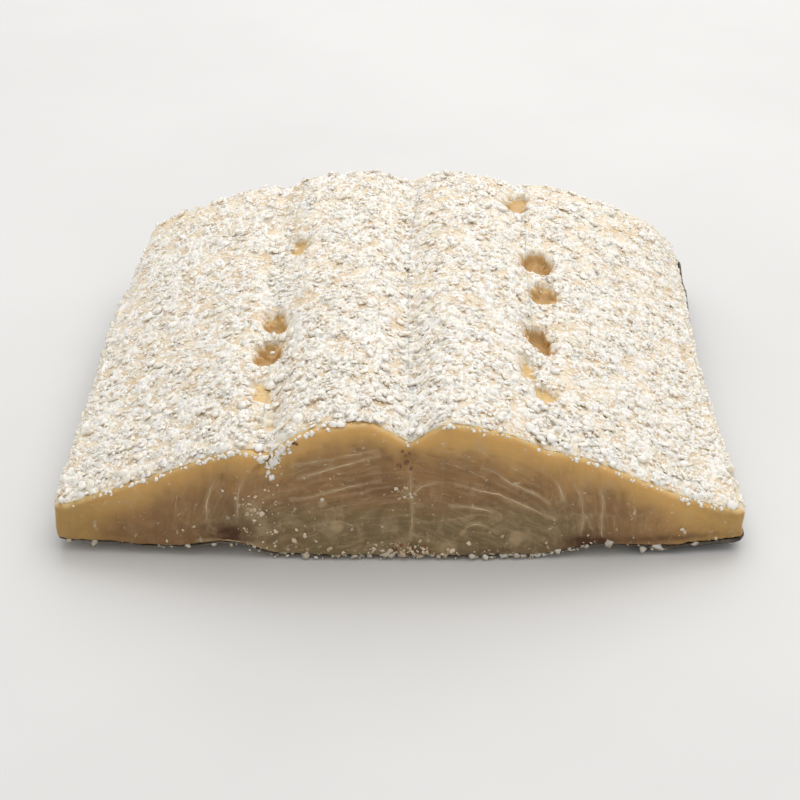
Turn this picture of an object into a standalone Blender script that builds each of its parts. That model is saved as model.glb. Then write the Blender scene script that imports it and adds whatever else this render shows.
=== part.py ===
"""A centre-cut piece of salted dried cod, lying skin side down.

The flesh is one firm block: two long muscle ridges with a furrow between them, flanks that thin out to each
side, a cut at the front and another at the rear. The thin skin under it is a second solid.
Metres, X across the fillet, Y from the front cut to the rear cut, +Z up.
"""

import math

import bmesh
import bpy
from mathutils import Vector, noise

# Driving dimensions of the block
LENGTH = 0.141
HALF_WIDTH_FRONT = 0.0788
HALF_WIDTH_MIDDLE = 0.0772
HALF_WIDTH_REAR_LEFT = 0.0752
HALF_WIDTH_REAR_RIGHT = 0.0785
CREST_FRONT = 0.0366
CREST_REAR = 0.0356
RIM_LEFT = (0.0122, 0.0136)  # height of the left flank's upper edge, at the front cut and at the rear cut
RIM_RIGHT = (0.0106, 0.0130)
ARCH_LEFT = (1.15, 0.62)  # above 1 the slope hollows towards the rim, below 1 it stays full
ARCH_RIGHT = (1.40, 0.62)

# The skin, and the gap that keeps the two solids apart
SKIN_THICKNESS = 0.0010
SKIN_GAP = 0.0003
SKIN_RISE = (-0.55, 0.45)  # how high it climbs the flanks, at the front and rear cuts: -1 is their foot, 1 their rim

# Relief of the block
CUT_BOW = 0.0042  # how far the cuts stand back at the flanks
CUT_EDGE = 0.0012  # rounding of the cuts' upper and lower edges
CUT_LOWER_EDGE = 0.35  # the lower edge is raised by this share of the rounding
CUT_EDGE_SETBACK = 0.4  # both edges stand back by this share of it
CUT_EDGE_POWER = 3  # how close to the edges the setback stays
REAR_BOW = 0.6  # the rear cut's bow, as a share of the front one's
CUT_WANDER = 0.0006  # waves in the cuts
CUT_WANDER_SCALE = (70, 90, 9)  # their frequency across, up and from cut to cut
FLANK_ROUNDING = 0.0020
FLANK_ROUNDING_HEIGHT = 0.96  # share of the flank's height that is rounded off
FLANK_ROUNDING_POWER = 10  # how close to the flank the rounding stays
FLANK_LIFT = 0.0020  # the flanks curl up off the table by this much
FLAT_HALF_WIDTH = 0.030  # of the strip that lies flat on the table
FLAT_CENTRE = 0.003
UNEVENNESS = 0.0009
UNEVENNESS_SCALE = (45, 5.5, 3.1)  # frequency across and along, and the place taken in the noise

# Furrows that run along the fish: place across it at the front and at the rear, width, depth at each end
FURROW_CENTRE = 0.0022
FURROWS = {
    "centre": {"front": FURROW_CENTRE, "rear": FURROW_CENTRE, "width": 0.0050, "depths": (0.0060, 0.0042)},
    "left": {"front": -0.0290, "rear": -0.0318, "width": 0.0040, "depths": (0.0034, 0.0026)},
    "right": {"front": 0.0325, "rear": 0.0330, "width": 0.0042, "depths": (0.0012, 0.0020)},
}

# Arches where the underside leaves the table at the front cut: place across, width, height
UNDERSIDE_ARCHES = ((-0.0390, 0.0085, 0.0030), (0.0450, 0.0090, 0.0022))
ARCH_REACH = 0.036  # how far back they run
ARCH_START = 0.004  # distance outside the flat strip over which they begin

# Pits along the two side furrows, where pin bones were drawn and flakes have parted:
# place across, distance behind the front cut, half width, half length, depth
PITS = (
    (-0.0300, 0.0135, 0.0022, 0.0050, 0.0034),
    (-0.0322, 0.0270, 0.0026, 0.0062, 0.0036),
    (-0.0316, 0.0450, 0.0026, 0.0058, 0.0048),
    (-0.0312, 0.0605, 0.0022, 0.0052, 0.0044),
    (-0.0270, 0.0975, 0.0024, 0.0060, 0.0030),
    (0.0340, 0.0250, 0.0022, 0.0044, 0.0030),
    (0.0305, 0.0345, 0.0016, 0.0050, 0.0030),
    (0.0342, 0.0515, 0.0022, 0.0060, 0.0042),
    (0.0364, 0.0740, 0.0030, 0.0052, 0.0042),
    (0.0360, 0.0915, 0.0032, 0.0060, 0.0050),
    (0.0322, 0.1260, 0.0022, 0.0060, 0.0034),
)

# Mesh density of the block
CELLS = {"x": 36, "y": 24, "z": 4}
SKIN_FLANK_CELLS = 2
PIT_SEGMENTS = 12
PIT_RINGS = 8
PIT_TURN = 12  # degrees each pit is turned, one way and the other by turns
CUT_ROW = 1.5  # depth of the narrow row at each cut, in roundings of its edge
ALONG_TOLERANCE = 1e-6

# Colours
FLESH_COLOUR = (0.46, 0.31, 0.16)
FLESH_ROUGHNESS = 0.45
SKIN_COLOUR = (0.10, 0.09, 0.065)
SKIN_ROUGHNESS = 0.50

MODEL_NAME = "salted_cod"


def mix(start, end, share):
    return start + (end - start) * share


def ease(value):
    """Smooth step from 0 to 1."""
    value = min(1.0, max(0.0, value))
    return value * value * (3 - 2 * value)


def bell(distance, width):
    return math.exp(-((distance / width) ** 2))


def clear_scene():
    for obj in list(bpy.data.objects):
        bpy.data.objects.remove(obj, do_unlink=True)


def make_material(name, colour, roughness):
    material = bpy.data.materials.new(name)
    material.use_nodes = True
    shader = material.node_tree.nodes["Principled BSDF"]
    shader.inputs["Base Color"].default_value = (*colour, 1.0)
    shader.inputs["Roughness"].default_value = roughness
    shader.inputs["Metallic"].default_value = 0.0
    return material


def make_collection(name):
    collection = bpy.data.collections.new(name)
    bpy.context.scene.collection.children.link(collection)
    return collection


def move_to(obj, collection):
    for holder in list(obj.users_collection):
        holder.objects.unlink(obj)
    collection.objects.link(obj)


def half_width(across, along):
    """Half the block's width on the side of this point. across is -1 to 1, along 0 at the front to 1."""
    rear = HALF_WIDTH_REAR_LEFT if across < 0 else HALF_WIDTH_REAR_RIGHT
    if along < 0.5:
        return mix(HALF_WIDTH_FRONT, HALF_WIDTH_MIDDLE, ease(along * 2))
    return mix(HALF_WIDTH_MIDDLE, rear, ease(along * 2 - 1))


def upper_height(x, across, along):
    """Height of the salted top over the table."""
    fade = ease(along)
    rim_ends, arch_ends = (RIM_LEFT, ARCH_LEFT) if across < 0 else (RIM_RIGHT, ARCH_RIGHT)
    rim = mix(*rim_ends, fade)
    crest = mix(CREST_FRONT, CREST_REAR, fade)
    arch = math.cos(math.pi / 2 * min(1.0, abs(across))) ** mix(*arch_ends, fade)
    height = rim + (crest - rim) * arch
    for furrow in FURROWS.values():
        place = mix(furrow["front"], furrow["rear"], along)
        height -= mix(*furrow["depths"], fade) * bell(x - place, furrow["width"])
    wave_x, wave_along, place_in_noise = UNEVENNESS_SCALE
    swell = noise.noise(Vector((x * wave_x, along * wave_along, place_in_noise)))
    return height + UNEVENNESS * swell * (1 - across**4)


def lower_height(x, across, along):
    """Height of the flesh's underside over the table, with room for the skin."""
    beyond = abs(x - FLAT_CENTRE) - FLAT_HALF_WIDTH
    lift = FLANK_LIFT * ease(beyond / (HALF_WIDTH_FRONT - FLAT_HALF_WIDTH))
    reach = 1 - ease(along * LENGTH / ARCH_REACH)
    for place, width, height in UNDERSIDE_ARCHES:
        raised = height * bell(x - place, width) * reach
        lift += raised * ease(beyond / ARCH_START)
    return SKIN_THICKNESS + SKIN_GAP + lift


def block_point(across, along, up):
    """Where a point of the unit block goes: across and up are -1 to 1, along is 0 to 1."""
    side = half_width(across, along)
    rounded = 1 - math.sqrt(max(0.0, 1 - (FLANK_ROUNDING_HEIGHT * up) ** 2))
    tuck = FLANK_ROUNDING * rounded * abs(across) ** FLANK_ROUNDING_POWER
    x = across * side + FURROW_CENTRE * (1 - across * across) - math.copysign(tuck, across)
    top = upper_height(x, across, along)
    bottom = lower_height(x, across, along)
    at_cut = 1.0 if along in (0.0, 1.0) else 0.0
    if up == 1:
        top -= CUT_EDGE * at_cut
    if up == -1:
        bottom += CUT_LOWER_EDGE * CUT_EDGE * at_cut
    z = mix(bottom, top, (up + 1) / 2)
    bow = CUT_BOW * across * across
    wave_x, wave_z, wave_along = CUT_WANDER_SCALE
    wander = CUT_WANDER * noise.noise(Vector((x * wave_x, z * wave_z, along * wave_along)))
    setback = CUT_EDGE_SETBACK * CUT_EDGE * abs(up) ** CUT_EDGE_POWER
    front = -LENGTH / 2 + bow + wander + setback
    rear = LENGTH / 2 - REAR_BOW * bow + wander - setback
    return Vector((x, mix(front, rear, along), z))


def row_share(share):
    """Spreads the rows along the fish, with a narrow one at each cut for its rounded edge."""
    cells = CELLS["y"]
    row = round(share * cells)
    if row in (0, cells):
        return row / cells
    edge = CUT_ROW * CUT_EDGE / LENGTH
    return mix(edge, 1 - edge, (row - 1) / (cells - 2))


def subdivide_along(block, axis, cells):
    """Cuts every edge that runs along this axis, so that the faces stay a grid."""
    others = [i for i in range(3) if i != axis]
    edges = [
        edge
        for edge in block.edges
        if all(abs(edge.verts[0].co[i] - edge.verts[1].co[i]) < ALONG_TOLERANCE for i in others)
    ]
    bmesh.ops.subdivide_edges(block, edges=edges, cuts=cells - 1, use_grid_fill=True)


def make_flesh(material, collection, pits):
    """The block: a cube cut into a grid, with each point moved to its place, and the pits cut out of it."""
    mesh = bpy.data.meshes.new("flesh")
    block = bmesh.new()
    bmesh.ops.create_cube(block, size=1.0)
    for axis, name in enumerate("xyz"):
        subdivide_along(block, axis, CELLS[name])
    for vertex in block.verts:
        across, along, up = vertex.co.x * 2, vertex.co.y + 0.5, vertex.co.z * 2
        vertex.co = block_point(round(across, 6), row_share(along), round(up, 6))
    bmesh.ops.recalc_face_normals(block, faces=block.faces)
    block.to_mesh(mesh)
    block.free()
    mesh.shade_smooth()
    mesh.materials.append(material)
    flesh = bpy.data.objects.new("flesh", mesh)
    collection.objects.link(flesh)
    cut = flesh.modifiers.new("pits", "BOOLEAN")
    cut.operation = "DIFFERENCE"
    cut.operand_type = "COLLECTION"
    cut.collection = pits
    return flesh


def make_pits(collection):
    """One egg-shaped cutter for each pit, half sunk in the top and lying along the fish."""
    for number, (x, behind_cut, half_across, half_along, depth) in enumerate(PITS, 1):
        along = behind_cut / LENGTH
        across = x / half_width(x, along)
        centre = Vector((x, behind_cut - LENGTH / 2, upper_height(x, across, along)))
        bpy.ops.mesh.primitive_uv_sphere_add(
            segments=PIT_SEGMENTS, ring_count=PIT_RINGS, radius=1.0, location=centre
        )
        cutter = bpy.context.object
        cutter.name = f"pit_{number}"
        cutter.scale = (half_across, half_along, depth)
        cutter.rotation_euler.z = math.radians(PIT_TURN * (-1) ** number)
        cutter.hide_render = True
        cutter.display_type = "WIRE"
        move_to(cutter, collection)


def skin_point(column, along):
    """A point of the block's lower outline: up the left flank, across the underside and up the right one."""
    rise = mix(*SKIN_RISE, ease(along))
    inner = column - SKIN_FLANK_CELLS
    if 0 <= inner <= CELLS["x"]:
        return block_point(2 * inner / CELLS["x"] - 1, along, -1)
    climbed = -inner if inner < 0 else inner - CELLS["x"]
    return block_point(math.copysign(1, inner), along, mix(-1, rise, climbed / SKIN_FLANK_CELLS))


def make_skin(material, collection):
    """The skin: a sheet on the block's lower outline, set off by the gap and given a thickness."""
    mesh = bpy.data.meshes.new("skin")
    sheet = bmesh.new()
    columns = CELLS["x"] + 2 * SKIN_FLANK_CELLS
    bmesh.ops.create_grid(sheet, x_segments=columns, y_segments=CELLS["y"], size=0.5)
    for vertex in sheet.verts:
        column = round((vertex.co.x + 0.5) * columns)
        vertex.co = skin_point(column, row_share(vertex.co.y + 0.5))
    bmesh.ops.reverse_faces(sheet, faces=sheet.faces)
    sheet.normal_update()
    for vertex in sheet.verts:
        vertex.co += vertex.normal * SKIN_GAP
    sheet.to_mesh(mesh)
    sheet.free()
    mesh.shade_smooth()
    mesh.materials.append(material)
    skin = bpy.data.objects.new("skin", mesh)
    collection.objects.link(skin)
    wall = skin.modifiers.new("thickness", "SOLIDIFY")
    wall.thickness = SKIN_THICKNESS
    wall.offset = 1.0
    wall.use_even_offset = True
    return skin


def centre_on_origin(solids, cutters):
    """Moves the piece so that the origin is under the middle of its box, on the table."""
    bpy.context.view_layer.update()
    graph = bpy.context.evaluated_depsgraph_get()
    corners = [
        obj.matrix_world @ Vector(corner)
        for obj in solids
        for corner in obj.evaluated_get(graph).bound_box
    ]
    low = Vector(map(min, zip(*corners)))
    high = Vector(map(max, zip(*corners)))
    shift = Vector(((low.x + high.x) / 2, (low.y + high.y) / 2, low.z))
    for obj in (*solids, *cutters):
        obj.location -= shift


def main():
    clear_scene()
    model = make_collection(MODEL_NAME)
    cutters = make_collection("pit_cutters")
    flesh_colour = make_material("cod_flesh", FLESH_COLOUR, FLESH_ROUGHNESS)
    skin_colour = make_material("cod_skin", SKIN_COLOUR, SKIN_ROUGHNESS)
    make_pits(cutters)
    flesh = make_flesh(flesh_colour, model, cutters)
    skin = make_skin(skin_colour, model)
    centre_on_origin([flesh, skin], cutters.objects)


main()
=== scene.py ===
import math

import bmesh
import bpy
import numpy as np
from mathutils import Euler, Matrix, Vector, noise
from mathutils.bvhtree import BVHTree


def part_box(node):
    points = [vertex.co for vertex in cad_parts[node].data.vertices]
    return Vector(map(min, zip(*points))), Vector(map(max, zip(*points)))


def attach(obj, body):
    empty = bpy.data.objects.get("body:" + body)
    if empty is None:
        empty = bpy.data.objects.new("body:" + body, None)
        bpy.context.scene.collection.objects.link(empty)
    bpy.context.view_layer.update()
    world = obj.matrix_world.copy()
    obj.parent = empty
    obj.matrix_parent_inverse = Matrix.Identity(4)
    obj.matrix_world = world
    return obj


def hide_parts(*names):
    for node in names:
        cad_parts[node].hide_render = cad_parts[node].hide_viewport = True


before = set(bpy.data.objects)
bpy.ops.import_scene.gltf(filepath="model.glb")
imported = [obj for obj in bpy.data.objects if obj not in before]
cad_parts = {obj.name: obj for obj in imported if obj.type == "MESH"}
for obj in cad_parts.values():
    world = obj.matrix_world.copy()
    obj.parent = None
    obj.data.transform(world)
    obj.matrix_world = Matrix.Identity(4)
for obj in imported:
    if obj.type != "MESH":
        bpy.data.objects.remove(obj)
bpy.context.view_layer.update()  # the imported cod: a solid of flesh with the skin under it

mm = 0.001
fleshLow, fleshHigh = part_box("flesh")


# small helpers

def pick(obj):
    bpy.ops.object.select_all(action="DESELECT")
    obj.select_set(True)
    bpy.context.view_layer.objects.active = obj


def applyAll(obj):
    pick(obj)
    for modifier in list(obj.modifiers):
        bpy.ops.object.modifier_apply(modifier=modifier.name)


def newest(name):
    obj = bpy.context.object
    obj.name = name
    obj.data.name = name
    return obj


def readPoints(obj):
    points = np.empty(len(obj.data.vertices) * 3)
    obj.data.vertices.foreach_get("co", points)
    return points.reshape(-1, 3)


def writePoints(obj, points):
    obj.data.vertices.foreach_set("co", np.ascontiguousarray(points, dtype=np.float32).ravel())
    obj.data.update()


def writeValues(obj, name, values):
    layer = obj.data.attributes.new(name, "FLOAT", "POINT")
    layer.data.foreach_set("value", np.ascontiguousarray(values, dtype=np.float32))


def mix(start, end, share):
    return start + (end - start) * share


def ramp(low, high, value):
    share = np.clip((value - low) / (high - low), 0.0, 1.0)
    return share * share * (3 - 2 * share)


def bump(distance, width):
    return np.exp(-((distance / width) ** 2))


def roughness(points, size, seed):
    # soft noise from -1 to 1, with lumps of the given size
    return np.array([noise.noise(Vector(p) / size + Vector((seed, 0, 0))) for p in points])


def noiseAt(x, y, z, size):
    return noise.noise(Vector((x, y, z)) / size)


# measuring the frame with rays, so that every piece is placed from it

probe = {
    "step": 1.0 * mm,
    "reach": 2.0 * mm,    # past the box
    "edge": 2,            # steps at the outline where the frame's own rounding is left out
    "flankHeight": 8.0 * mm,
    "cutHeight": 0.55,    # where the cuts are measured, as a share of the thickness
    "drawnIn": 2.8 * mm,  # how far the left flank comes in at the rear
    "drawnFrom": 0.62,    # where that starts, as a share of the length
    "facing": 0.75,       # how squarely a side has to face the ray that measures it
    "pitSpan": 8,         # steps that bridge a pit along the fish
    "sinkSpan": 5,        # steps within which the block dips to the lowest place
}

graph = bpy.context.evaluated_depsgraph_get()
fleshTree = BVHTree.FromObject(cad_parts["flesh"], graph)
probeX = np.arange(fleshLow.x - probe["reach"], fleshHigh.x + probe["reach"], probe["step"])
probeY = np.arange(fleshLow.y - probe["reach"], fleshHigh.y + probe["reach"], probe["step"])


def neighbours(heights):
    padded = np.pad(heights, 1, constant_values=np.nan)
    return np.stack([padded[:-2, 1:-1], padded[2:, 1:-1], padded[1:-1, :-2], padded[1:-1, 2:]])


def measureHeights(fromAbove):
    start, way = (1.0, -1.0) if fromAbove else (-1.0, 1.0)
    heights = np.full((len(probeX), len(probeY)), np.nan)
    for i, x in enumerate(probeX):
        for j, y in enumerate(probeY):
            hit = fleshTree.ray_cast(Vector((x, y, start)), Vector((0, 0, way)))[0]
            if hit:
                heights[i, j] = hit.z
    for _ in range(probe["edge"]):
        heights[np.isnan(neighbours(heights)).any(0)] = np.nan
    while np.isnan(heights).any():  # carried on outwards at the height of the edge
        around = neighbours(heights)
        known = ~np.isnan(around)
        spread = np.where(known, around, 0).sum(0) / np.maximum(known.sum(0), 1)
        heights = np.where(np.isnan(heights) & known.any(0), spread, heights)
    return heights


def shareAlong(y):
    return (y - fleshLow.y) / (fleshHigh.y - fleshLow.y)


def slide(heights, across, along, choose):
    # highest or lowest value within reach of each point
    padded = np.pad(heights, ((across, across), (along, along)), mode="edge")
    wide, deep = heights.shape
    shifted = [
        padded[i:i + wide, j:j + deep] for i in range(2 * across + 1) for j in range(2 * along + 1)
    ]
    return choose(np.stack(shifted), axis=0)


def readMap(heights, x, y):
    i = np.clip((x - probeX[0]) / probe["step"], 0, len(probeX) - 1.001)
    j = np.clip((y - probeY[0]) / probe["step"], 0, len(probeY) - 1.001)
    i0, j0 = i.astype(int), j.astype(int)
    fi, fj = i - i0, j - j0
    front = mix(heights[i0, j0], heights[i0 + 1, j0], fi)
    rear = mix(heights[i0, j0 + 1], heights[i0 + 1, j0 + 1], fi)
    return mix(front, rear, fj)


def readSpot(heights, x, y):
    return readMap(heights, np.array([x]), np.array([y]))[0]


def measureEdge(starts, way, axis):
    # only where the ray meets a side that faces it, which leaves the corners out
    found = np.full(len(starts), np.nan)
    for number, start in enumerate(starts):
        hit, normal = fleshTree.ray_cast(Vector(start), Vector(way))[:2]
        if hit and abs(normal[axis]) > probe["facing"]:
            found[number] = hit[axis]
    known = np.flatnonzero(~np.isnan(found))
    return np.interp(np.arange(len(found)), known, found[known])


topMap = measureHeights(True)
bottomMap = measureHeights(False)
closedMap = slide(slide(topMap, 0, probe["pitSpan"], np.max), 0, probe["pitSpan"], np.min)  # its pits filled

filledPits = (
    # across, behind the front cut, half width in millimetres, share filled with salt
    (-30.0, 13.5, 6.0, 0.40),
    (-32.2, 27.0, 6.0, 0.32),
    (34.0, 25.0, 5.5, 0.42),
    (30.5, 34.5, 5.5, 0.38),
    (32.2, 126.0, 6.0, 0.20),
)
gridX, gridY = np.meshgrid(probeX, probeY, indexing="ij")
openShare = np.ones_like(topMap)
for across, behind, wide, share in filledPits:
    openShare -= share * bump(np.hypot(gridX - across * mm, gridY - fleshLow.y - behind * mm), wide * mm)
pitMap = slide(closedMap - topMap, 1, 1, np.max) * openShare
sunkMap = slide(topMap, probe["sinkSpan"], probe["sinkSpan"], np.min)

middle = np.zeros(len(probeX))
cutHeights = mix(readMap(bottomMap, probeX, middle), readMap(topMap, probeX, middle), probe["cutHeight"])
frontLine = measureEdge([(x, -1, z) for x, z in zip(probeX, cutHeights)], (0, 1, 0), 1)
rearLine = measureEdge([(x, 1, z) for x, z in zip(probeX, cutHeights)], (0, -1, 0), 1)
leftLine = measureEdge([(-1, y, probe["flankHeight"]) for y in probeY], (1, 0, 0), 0)
rightLine = measureEdge([(1, y, probe["flankHeight"]) for y in probeY], (-1, 0, 0), 0)
leftLine += probe["drawnIn"] * ramp(probe["drawnFrom"], 1.0, shareAlong(probeY))


def frontAt(x):
    return np.interp(x, probeX, frontLine)


def rearAt(x):
    return np.interp(x, probeX, rearLine)


def leftAt(y):
    return np.interp(y, probeY, leftLine)


def rightAt(y):
    return np.interp(y, probeY, rightLine)


def spreadOver(across, along, inset=0.0, behind=0.0):
    # from -1..1 both ways to a place inside the outline
    share = (along + 1) / 2
    y = mix(fleshLow.y, fleshHigh.y, share)
    for _ in range(3):
        x = mix(leftAt(y) + inset, rightAt(y) - inset, (across + 1) / 2)
        y = mix(frontAt(x) + behind, rearAt(x) - behind, share)
    return x, y


print("frame measured:", topMap.shape, "heights")


# shader nodes

def newMaterial(name):
    material = bpy.data.materials.new(name)
    material.use_nodes = True
    tree = material.node_tree
    return material, tree, tree.nodes["Principled BSDF"]


def addNode(tree, kind, settings=None, **inputs):
    node = tree.nodes.new("ShaderNode" + kind)
    for name, value in (settings or {}).items():
        setattr(node, name, value)
    for name, value in inputs.items():
        socket = node.inputs[int(name[1:])] if name[0] == "_" else node.inputs[name.replace("_", " ")]
        if isinstance(value, bpy.types.NodeSocket):
            tree.links.new(value, socket)
        else:
            socket.default_value = value
    return node


def mixColours(tree, share, first, second):
    node = tree.nodes.new("ShaderNodeMix")
    node.data_type = "RGBA"
    node.clamp_factor = True
    for slot, value in ((0, share), (6, first), (7, second)):
        if isinstance(value, bpy.types.NodeSocket):
            tree.links.new(value, node.inputs[slot])
        elif slot:
            node.inputs[slot].default_value = (*value, 1.0)
        else:
            node.inputs[slot].default_value = value
    return node.outputs[2]


def maths(tree, operation, first, second):
    return addNode(tree, "Math", {"operation": operation}, _0=first, _1=second).outputs[0]


def times(tree, first, second):
    return maths(tree, "MULTIPLY", first, second)


def between(tree, value, low, high, start=0.0, end=1.0):
    values = {"_0": value, "_1": low, "_2": high, "_3": start, "_4": end}
    return addNode(tree, "MapRange", {"interpolation_type": "SMOOTHSTEP"}, **values).outputs[0]


def noiseNode(tree, place, scale, detail=3.0, distortion=0.0, rough=0.55):
    values = {"Vector": place, "Scale": scale, "Detail": detail, "Distortion": distortion, "Roughness": rough}
    return addNode(tree, "TexNoise", None, **values).outputs["Fac"]


def attribute(tree, name):
    node = tree.nodes.new("ShaderNodeAttribute")
    node.attribute_name = name
    return node.outputs["Fac"]


def objectPlace(tree, stretch=(1, 1, 1)):
    coordinates = tree.nodes.new("ShaderNodeTexCoord")
    mapping = tree.nodes.new("ShaderNodeMapping")
    mapping.inputs["Scale"].default_value = stretch
    tree.links.new(coordinates.outputs["Object"], mapping.inputs["Vector"])
    return mapping.outputs["Vector"]


def addBump(tree, shader, height, strength, distance):
    node = addNode(tree, "Bump", None, Height=height, Strength=strength, Distance=distance)
    tree.links.new(node.outputs["Normal"], shader.inputs["Normal"])


def setShader(shader, **values):
    for name, value in values.items():
        shader.inputs[name.replace("_", " ")].default_value = value


def cloudyMaterial(name, scale, colours, roughness, strength, depth):
    # two colours in soft clouds, with a bump to match
    material, tree, shader = newMaterial(name)
    cloud = noiseNode(tree, objectPlace(tree), scale, 3)
    colour = mixColours(tree, between(tree, cloud, 0.35, 0.65), *colours)
    tree.links.new(colour, shader.inputs["Base Color"])
    tree.links.new(between(tree, cloud, 0.3, 0.7, *roughness), shader.inputs["Roughness"])
    addBump(tree, shader, cloud, strength, depth)
    return material, tree, shader, colour


# the flesh: a fine block that keeps the frame's shape and carries the relief of both cuts

fleshBlock = {
    "columns": (20, 17),      # cut in two goes, across the fish
    "rows": (56,),            # along it
    "layers": (58,),          # up the cuts and flanks
    "edgeRows": 7,            # narrow rows behind each cut
    "edgeDepth": 2.6 * mm,
    "rounding": 1.2 * mm,     # of the cuts' edges
    "wider": 1.9,             # how much wider the flanks are rounded
    "overlap": 0.34 * mm,     # down onto the skin
    "dip": 1.5 * mm,          # how far the top lies under the salt
    "dipBehind": (3 * mm, 7 * mm),     # where the dip starts and is full, from the cuts
    "dipInside": (1.5 * mm, 5 * mm),   # and from the flanks
    "relief": 3.2 * mm,       # how far behind a cut its relief has died away
}
middleFurrow = 2.4 * mm  # its place across the fish


def subdivideAlong(obj, axis, steps):
    others = [i for i in range(3) if i != axis]
    for step in steps:
        bpy.ops.mesh.select_all(action="DESELECT")
        work = bmesh.from_edit_mesh(obj.data)
        for edge in work.edges:
            start, end = edge.verts[0].co, edge.verts[1].co
            edge.select = all(abs(start[i] - end[i]) < 1e-5 for i in others)
        bmesh.update_edit_mesh(obj.data)
        bpy.ops.mesh.subdivide(number_cuts=step - 1)


def rowShare(along):
    total = fleshBlock["rows"][0]
    row = (along + 1) / 2 * total
    edge = fleshBlock["edgeRows"]
    depth = fleshBlock["edgeDepth"] / (fleshHigh.y - fleshLow.y)
    return np.interp(row, [0, edge, total - edge, total], [0, depth, 1 - depth, 1])


def blockSurface(across, along, up):
    # from -1..1 three ways to the block's surface; it dips under the salt, where it can't be seen
    x, y = spreadOver(across, along)
    left, right, front, rear = leftAt(y), rightAt(y), frontAt(x), rearAt(x)
    bottom = readMap(bottomMap, x, y) - fleshBlock["overlap"]
    inside = np.minimum(y - front, rear - y)
    fromFlank = np.minimum(x - left, right - x)
    hidden = ramp(*fleshBlock["dipBehind"], inside) * ramp(*fleshBlock["dipInside"], fromFlank)
    top = mix(readMap(topMap, x, y), readMap(sunkMap, x, y) - fleshBlock["dip"], hidden)
    z = mix(bottom, top, (up + 1) / 2)
    # rounded edges: what lies outside the fillet is drawn in to it
    radius, wider = fleshBlock["rounding"], fleshBlock["wider"]
    reach = np.column_stack((
        np.where(x - left < right - x, -1, 1) * np.clip(wider * radius - fromFlank, 0, None) / wider,
        np.where(y - front < rear - y, -1, 1) * np.clip(radius - inside, 0, None),
        np.where(up < 0, -1, 1) * np.clip(radius - np.minimum(top - z, z - bottom), 0, None),
    ))
    length = np.maximum(np.linalg.norm(reach, axis=1), 1e-9)
    over = np.maximum(length - radius, 0) / length
    placed = np.column_stack((x, y, z)) - reach * over[:, None] * np.array((wider, 1, 1))
    return placed, x, y, z, bottom


cutWaves = {
    "step": 0.16 * mm,                 # from each flake to the next
    "broad": (0.30 * mm, 9 * mm),      # depth and size
    "small": (0.16 * mm, 3 * mm),
    "lumps": 0.08,                     # in millimetres
    "bellyLumps": 0.12,                # added on the soft belly side
    "lumpSize": 1.5 * mm,
    "crease": (0.32 * mm, 0.55 * mm),  # depth and half width, under the middle furrow
}


def cutRelief(x, z, seed):
    # how far the cut stands back at each place: flakes in arcs, one crease in the middle and waves
    places = np.column_stack((x, np.zeros(len(x)), z))
    arcs = flakeArcs(x, z)
    step = arcs * 0.55 % 1.0
    relief = cutWaves["step"] * step * (1 - ramp(30 * mm, 40 * mm, np.abs(x)))
    for name, shift in (("broad", 0), ("small", 5)):
        depth, size = cutWaves[name]
        relief += depth * roughness(places, size, seed + shift)
    low = 1 - ramp(8 * mm, 17 * mm, z)  # the soft belly side is lumpier
    lumps = (cutWaves["lumps"] + cutWaves["bellyLumps"] * low) * mm
    relief += lumps * roughness(places, cutWaves["lumpSize"], seed + 9)
    depth, wide = cutWaves["crease"]
    relief += depth * bump(x - middleFurrow - 0.5 * mm * np.sin(z / (4 * mm)), wide)
    return relief


def flakeArcs(x, z):
    # rises by one from each flake to the next, in shallow arches over both halves
    right = np.hypot(x + 12 * mm, z + 62 * mm)
    left = np.hypot(x - 10 * mm, z + 84 * mm)
    return np.where(x > middleFurrow, right, left) / (4.2 * mm)


def flankArcs(x, z):
    # the same for the steep flakes at both sides
    lean = 5.5 * mm * (1 - ramp(2 * mm, 30 * mm, z))
    return (np.abs(x) - lean) / (4.4 * mm)


fissure = {
    "points": ((-26.0, 33.5), (-27.2, 31.0), (-29.4, 27.0), (-32.6, 23.6)),  # across and up, in millimetres
    "depth": 1.2 * mm,
    "width": 0.55 * mm,
    "flap": 0.9 * mm,       # how far the muscle on its left laps over it
}


def lineDistance(x, z, points):
    # signed distance in metres from a line of points given in millimetres, negative on its left
    best = np.full(len(x), 1.0)
    side = np.ones(len(x))
    points = [np.array(p) * mm for p in points]
    for start, end in zip(points, points[1:]):
        run = end - start
        share = np.clip(((x - start[0]) * run[0] + (z - start[1]) * run[1]) / (run @ run), 0, 1)
        away = np.hypot(x - start[0] - share * run[0], z - start[1] - share * run[1])
        turn = (x - start[0]) * run[1] - (z - start[1]) * run[0]
        side = np.where(away < best, np.sign(-turn), side)
        best = np.minimum(best, away)
    return best * side


def cutLines(side):
    # the septa's lines, mirrored for the rear cut
    mirror, shift, squeeze = (1, 0, 1) if side < 0 else (-1, 4.5, 0.96)
    return [
        ([(mirror * x + shift, squeeze * z) for x, z in points], share)
        for group, share in (("front", 1.0), ("faint", 0.6)) for points in septa[group]
    ]


paleKnots = (
    # across, up and half width in millimetres
    (1.8, 18.4, 1.5),
    (-17.4, 15.6, 1.1),
    (-33.0, 13.0, 2.6),
    (-31.0, 8.5, 2.2),
    (-14.5, 9.4, 1.6),
    (0.8, 3.0, 2.6),
    (11.0, 3.4, 2.2),
    (26.0, 6.0, 1.8),
)


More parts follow.
